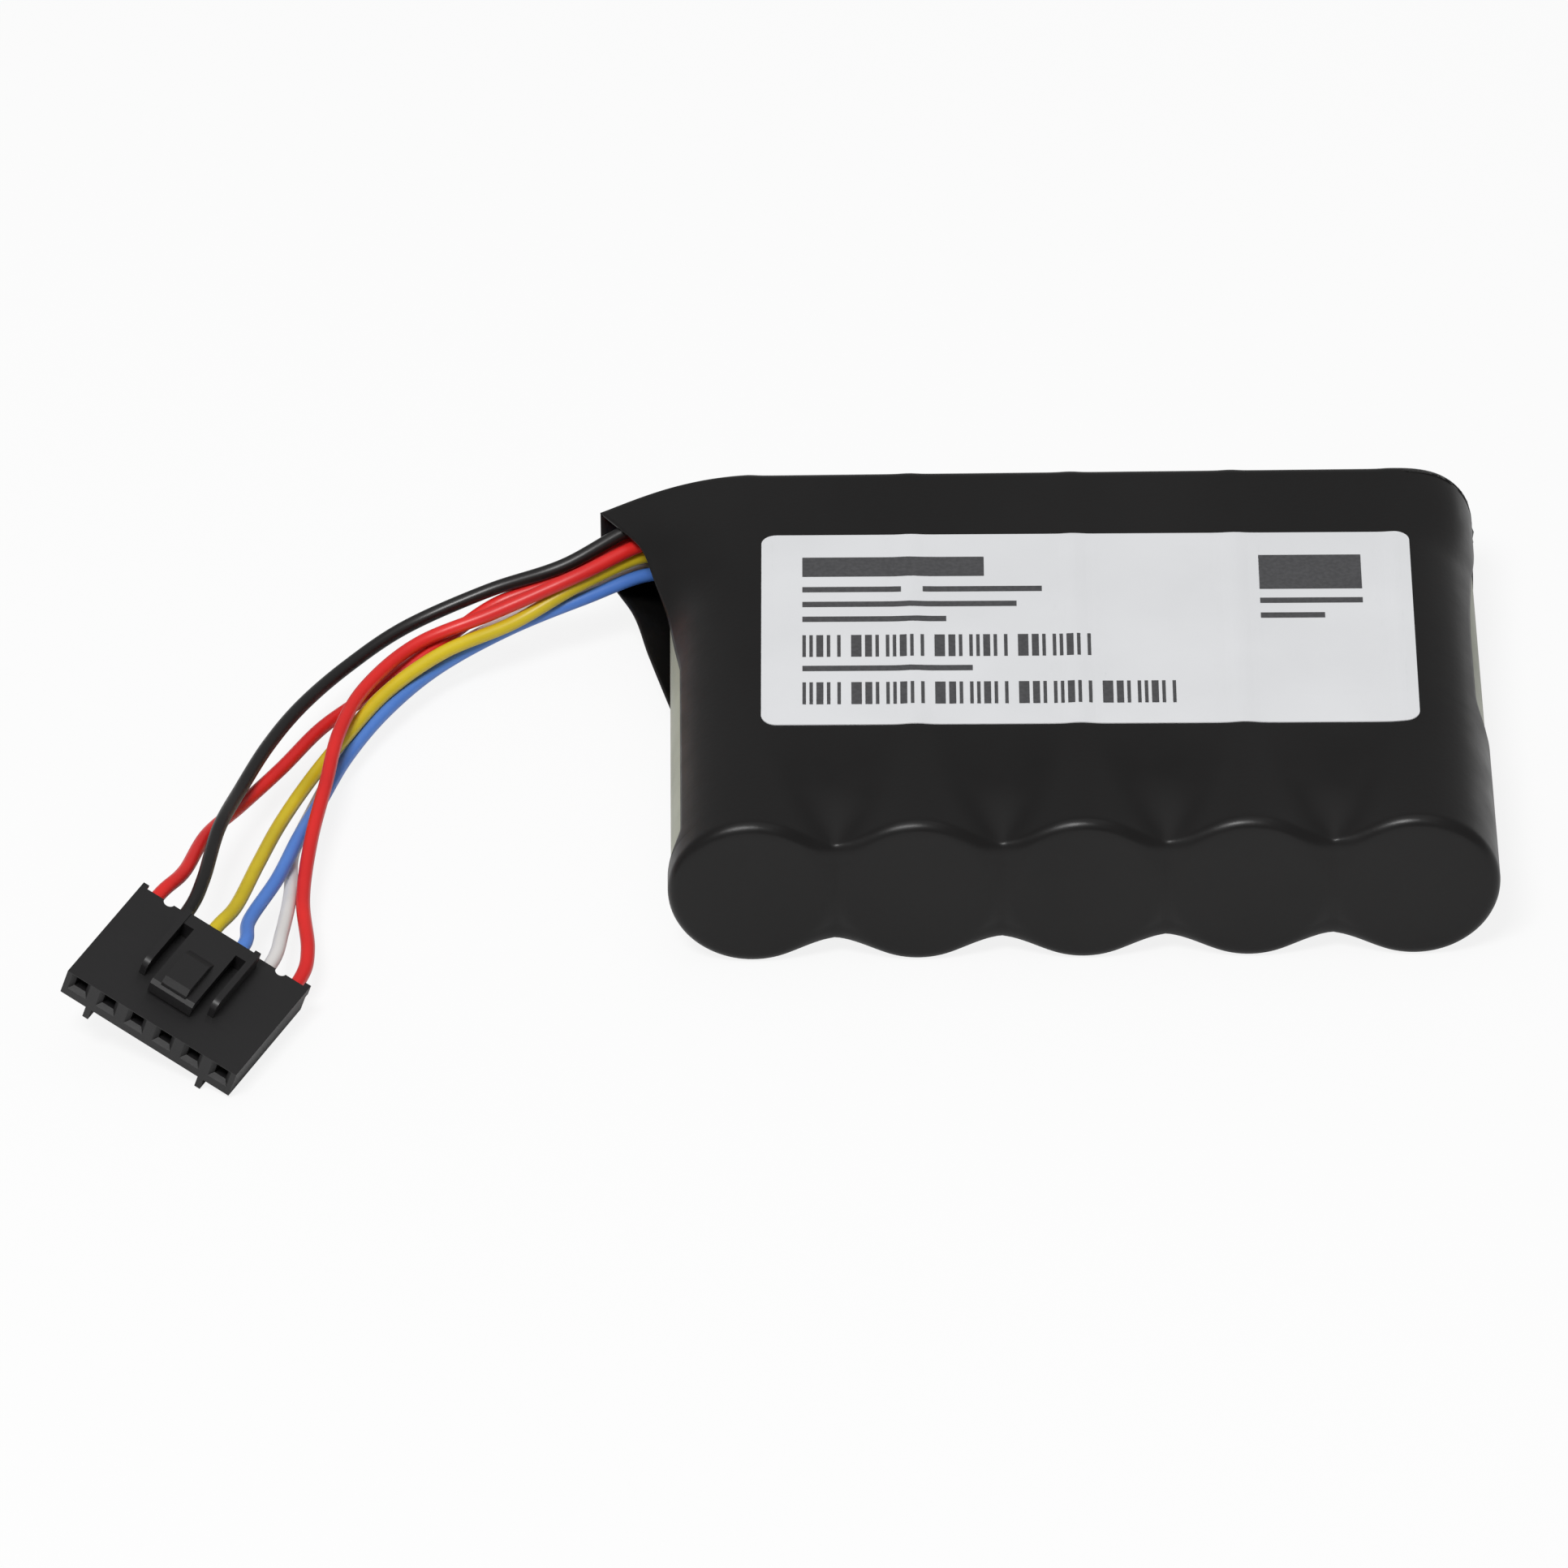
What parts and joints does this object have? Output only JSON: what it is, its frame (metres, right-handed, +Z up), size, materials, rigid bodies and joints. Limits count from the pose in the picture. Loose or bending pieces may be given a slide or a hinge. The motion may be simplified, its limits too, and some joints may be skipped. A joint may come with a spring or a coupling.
{
  "type": "capacitor backup power module",
  "caption": "Flat pack of capacitor cells side by side in black shrink film with a white label, with coloured wires from one corner to a latched in-line plug.",
  "frame": {"origin": "middle of the flat underside of the pack, between its front and rear faces", "axes": "+X along the row of cells, away from the wires; +Y along the cells, from their closed ends to the circuit board; +Z up through the label"},
  "size_m": [0.11, 0.0649, 0.0131],
  "materials": {
    "film": "thin heat-shrink film, semi-matt black",
    "label": "white satin label stock with grey print blocks",
    "card": "pressed insulating card",
    "foam": "closed-cell foam",
    "board": "glass-fibre board with green solder mask",
    "solder": "tin solder",
    "chip": "moulded chip bodies and film resistors with tinned ends",
    "can": "drawn can, rolled rim",
    "sleeve": "printed shrink sleeve, pale olive grey",
    "winding": "wound electrode and paper roll",
    "seal": "moulded rubber plug",
    "lead": "tinned wire",
    "wire_red": "extruded insulation, satin",
    "wire_black": "extruded insulation, satin",
    "wire_yellow": "extruded insulation, satin",
    "wire_blue": "extruded insulation, satin",
    "wire_white": "extruded insulation, satin",
    "housing": "moulded nylon, fine matt",
    "contact": "stamped and tinned contact"
  },
  "bodies": {
    "root": {"film_wrap": "film", "label": "label", "cell_insulator": "card", "rear_pad": "foam", "circuit_board": "board", "lead_joints": "solder", "wire_joints": "solder", "balance_resistors": "chip", "balance_chips": "chip", "memory_chip": "chip", "cell_can_1": "can", "cell_can_2": "can", "cell_can_3": "can", "cell_can_4": "can", "cell_can_5": "can", "cell_sleeve_1": "sleeve", "cell_sleeve_2": "sleeve", "cell_sleeve_3": "sleeve", "cell_sleeve_4": "sleeve", "cell_sleeve_5": "sleeve", "cell_winding_1": "winding", "cell_winding_2": "winding", "cell_winding_3": "winding", "cell_winding_4": "winding", "cell_winding_5": "winding", "cell_seal_1": "seal", "cell_seal_2": "seal", "cell_seal_3": "seal", "cell_seal_4": "seal", "cell_seal_5": "seal", "cell_leads_1": "lead", "cell_leads_2": "lead", "cell_leads_3": "lead", "cell_leads_4": "lead", "cell_leads_5": "lead", "wire_red_1": "wire_red", "wire_black": "wire_black", "wire_yellow": "wire_yellow", "wire_blue": "wire_blue", "wire_white": "wire_white", "wire_red_2": "wire_red", "connector_housing": "housing", "contact_1": "contact", "contact_2": "contact", "contact_3": "contact", "contact_4": "contact", "contact_5": "contact", "contact_6": "contact"}
  },
  "joints": []
}
